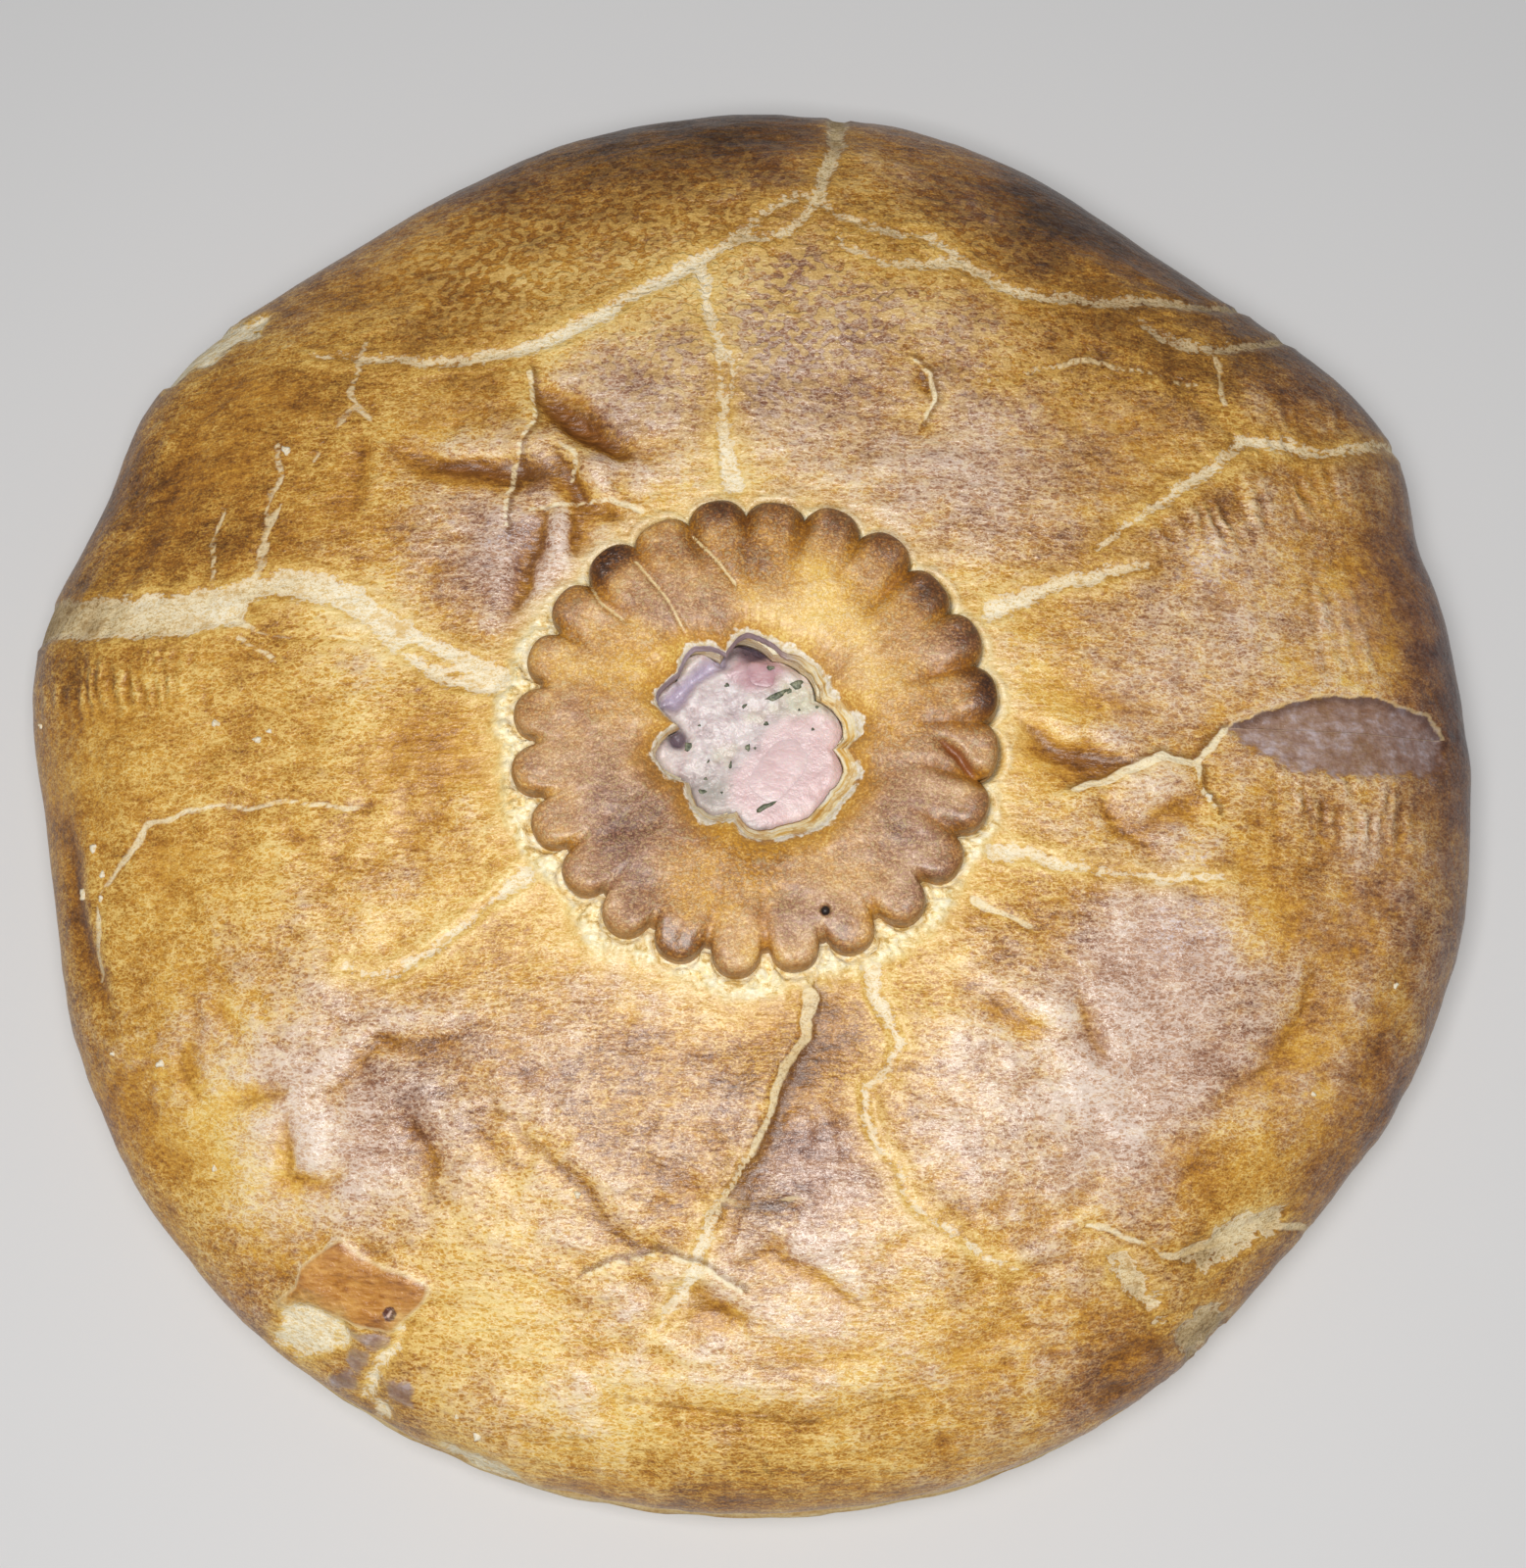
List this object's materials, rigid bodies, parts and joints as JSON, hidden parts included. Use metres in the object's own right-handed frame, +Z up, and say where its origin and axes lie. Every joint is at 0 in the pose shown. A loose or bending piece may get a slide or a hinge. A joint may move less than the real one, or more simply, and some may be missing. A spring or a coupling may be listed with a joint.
{
  "type": "meat pie",
  "caption": "Large round raised meat pie: a domed glazed crust with pale cracks, a fluted pastry collar round the vent, and meat filling that shows in the vent.",
  "frame": {"origin": "middle of the base's underside, under the vent", "axes": "+Z up; -Y towards the side that the picture is taken from, +X to the picture's right"},
  "size_m": [0.283, 0.2805, 0.0644],
  "materials": {
    "base_pastry": "dry pale baked pastry",
    "glazed_crust": "egg-glazed golden brown crust, satin",
    "collar_crust": "egg-glazed golden brown crust, satin",
    "minced_meat": "moist pale greyish-pink minced meat",
    "pink_meat": "moist cooked pink meat",
    "red_meat": "moist cured red-pink meat"
  },
  "bodies": {
    "root": {"base": "base_pastry", "lid": "glazed_crust", "collar": "collar_crust", "filling": "minced_meat", "meat_chunk_large": "pink_meat", "meat_chunk_small": "red_meat"}
  },
  "joints": []
}
